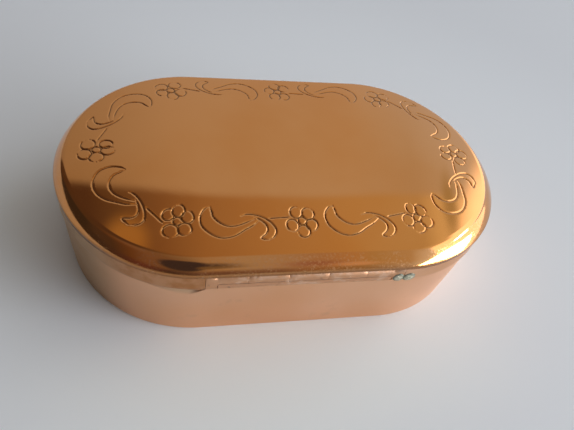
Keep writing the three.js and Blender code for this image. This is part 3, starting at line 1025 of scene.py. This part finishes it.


# The table: white, with painted light on it: a little lighter round the box, and most in front of it, where
# the copper throws light back
floor = {"half": 1.5, "drop": 0.00002, "colour": (0.78, 0.83, 0.88), "roughness": 0.7,
         # A painted pool of light round the box
         "middle": (0.84, 0.9, 0.95), "middleAt": (0.02, 0, 0), "middleHalf": (1, 1, 1),
         "middleFrom": 0.12, "middleTo": 0.06,
         # Painted light in front of the box, where the copper throws light back
         "lit": (0.9, 0.98, 1.0), "litAt": (-0.002, -0.034, 0), "litHalf": (0.048, 0.018, 1),
         "litFrom": 1.2, "litTo": 0.3}


def makeFloor():
    half, z = floor["half"], -floor["drop"]
    mesh = bpy.data.meshes.new("floor")
    mesh.from_pydata([(-half, -half, z), (half, -half, z), (half, half, z), (-half, half, z)], [],
                     [(0, 1, 2, 3)])
    table = addObject("floor", mesh)
    nodes = startMaterial("floor_white", floor)
    colour = "colour"
    # Mixes in the painted light, first round the box and then in front of it
    for name in ("middle", "lit"):
        colour = nodes.shade(nodes.reach(name + "At", name + "Half"), colour, name)
    mesh.materials.append(nodes.finish(colour, metallic=0.0))


# Soft light: a large window to the right, cool against the warm room
window = {"azimuth": 57, "elevation": 4.2, "roll": 16, "distance": 1.6, "width": 1.55, "height": 0.4,
          "radiance": 26.0, "colour": (0.95, 0.98, 1.04)}


def makeWindow():
    data = bpy.data.lights.new("window", "AREA")
    data.shape = "ELLIPSE"
    data.size, data.size_y = window["width"], window["height"]
    area = math.pi / 4 * data.size * data.size_y
    data.energy = window["radiance"] * math.pi * area
    data.color = window["colour"]
    axes = axesOf(window)
    addObject("window", data).matrix_world = placedBy(axes, axes[2] * window["distance"])


# The room by how far a direction points to the right, from -1 to 1: its far walls, its ceiling,
# its near side and the low part of that, as (place, red, green, blue), and soft spots as
# (direction, half sizes along x, y and z, softness, colour). The ceiling begins where y plus a
# share of x falls under a value.
room = {"walls": [(-1.0, 0.26, 0.24, 0.22), (-0.3, 0.36, 0.34, 0.31), (0.0, 0.47, 0.46, 0.45),
                  (0.35, 0.53, 0.53, 0.53), (0.5, 0.52, 0.55, 0.6), (0.66, 0.58, 0.67, 0.84),
                  (0.75, 1.1, 1.2, 1.3), (1.0, 1.4, 1.4, 1.4)],
        "ceiling": [(-1.0, 0.08, 0.06, 0.045), (-0.3, 0.09, 0.06, 0.045), (-0.2, 0.14, 0.1, 0.065),
                    (-0.06, 0.235, 0.165, 0.105), (0.19, 0.42, 0.32, 0.19), (0.35, 0.52, 0.44, 0.28),
                    (0.5, 0.55, 0.53, 0.41), (0.56, 0.76, 0.78, 0.64), (1.0, 1.0, 1.0, 1.0)],
        "near": [(-1.0, 0.07, 0.055, 0.05), (-0.85, 0.075, 0.055, 0.045), (-0.7, 0.14, 0.085, 0.05),
                 (-0.52, 0.205, 0.15, 0.13), (-0.3, 0.2, 0.16, 0.14), (-0.08, 0.26, 0.24, 0.22),
                 (0.12, 0.41, 0.38, 0.34), (0.17, 0.41, 0.41, 0.4), (0.26, 0.4, 0.36, 0.34),
                 (0.3, 0.4, 0.33, 0.29), (0.35, 0.49, 0.39, 0.28), (0.39, 0.45, 0.4, 0.27),
                 (0.43, 0.49, 0.46, 0.37), (0.51, 0.58, 0.63, 0.7), (0.6, 0.66, 0.78, 1.0),
                 (0.77, 0.85, 1.05, 1.4), (1.0, 1.5, 1.7, 1.9)],
        "low": [(-1.0, 0.045, 0.04, 0.04), (-0.85, 0.07, 0.05, 0.05), (-0.6, 0.13, 0.065, 0.07),
                (-0.31, 0.07, 0.06, 0.08), (-0.08, 0.12, 0.1, 0.125), (0.12, 0.16, 0.115, 0.125),
                (0.17, 0.22, 0.18, 0.18), (0.225, 0.205, 0.16, 0.165), (0.26, 0.33, 0.25, 0.21),
                (0.3, 0.33, 0.25, 0.2), (0.35, 0.32, 0.28, 0.2), (0.39, 0.38, 0.355, 0.3),
                (0.43, 0.475, 0.51, 0.58), (0.51, 0.6, 0.75, 1.0), (0.6, 0.7, 0.9, 1.25),
                (1.0, 1.4, 1.6, 1.8)],
        "ceilingSlant": 0.15, "ceilingLow": 0.575, "ceilingHigh": 0.535, "nearLow": 0.1,
        "nearHigh": -0.25, "lowLow": 0.25, "lowHigh": 0.09, "seen": (0.8, 0.81, 0.825),
        "spots": [((-0.155, -0.9, 0.37), (0.29, 1.0, 0.19), 0.15, (0.05, 0.05, 0.085)),
                  ((0.07, -0.95, 0.31), (0.08, 0.5, 0.05), 0.6, (0.18, 0.16, 0.13)),
                  ((-0.18, 0.38, 0.91), (0.07, 0.085, 0.3), 0.5, (0.38, 0.27, 0.115)),
                  ((-0.98, 0.2, 0.15), (0.3, 0.35, 0.35), 0.3, (0.045, 0.04, 0.04)),
                  ((0.285, -0.93, 0.3), (0.045, 0.5, 0.1), 0.6, (0.32, 0.22, 0.235)),
                  ((0.355, -0.91, 0.23), (0.035, 0.5, 0.07), 0.6, (0.62, 0.53, 0.51)),
                  ((1.0, 0.0, 0.45), (0.431, 0.765, 1.0), 0.08, (1.9, 1.95, 2.1)),
                  ((0.6, 0.43, 0.68), (0.02, 0.12, 0.2), 0.6, (0.42, 0.42, 0.3))]}


def roomRamp(nodes, stops):
    ramp = nodes.add("ValToRGB", {"Fac": nodes.stretch(nodes.x, -1.0, 1.0)})["Color"]
    elements = ramp.node.color_ramp.elements
    while len(elements) < len(stops):
        elements.new(0.5)
    for element, (at, *colour) in zip(elements, stops):
        element.position = (at + 1) / 2
        element.color = (*colour, 1)
    return ramp


def makeRoom():
    world = bpy.data.worlds.new("room")
    bpy.context.scene.world = world
    world.use_nodes = True
    nodes = Nodes(world.node_tree, room, "Generated")
    walls, ceiling, near, low = (roomRamp(nodes, room[key]) for key in ("walls", "ceiling", "near", "low"))
    slant = nodes.total(nodes.y, (nodes.x, "ceilingSlant"))
    light = nodes.mix(nodes.soft(slant, "ceilingLow", "ceilingHigh"), walls, ceiling)
    near = nodes.mix(nodes.soft(nodes.z, "lowLow", "lowHigh"), near, low)
    light = nodes.mix(nodes.soft(nodes.y, "nearLow", "nearHigh"), light, near)
    for middle, halfSizes, soft, colour in room["spots"]:
        light = nodes.mix(nodes.soft(nodes.reach(middle, halfSizes), 1 + soft, 1 - soft), light, colour)
    light = nodes.mix(nodes.add("LightPath")["Is Camera Ray"], light, "seen")
    nodes.feed(nodes.tree.nodes["Background"].inputs["Color"], light)


makeCamera()
makeFloor()
makeWindow()
makeRoom()
bpy.context.scene.view_settings.view_transform = "Standard"
print("camera, floor and light made")
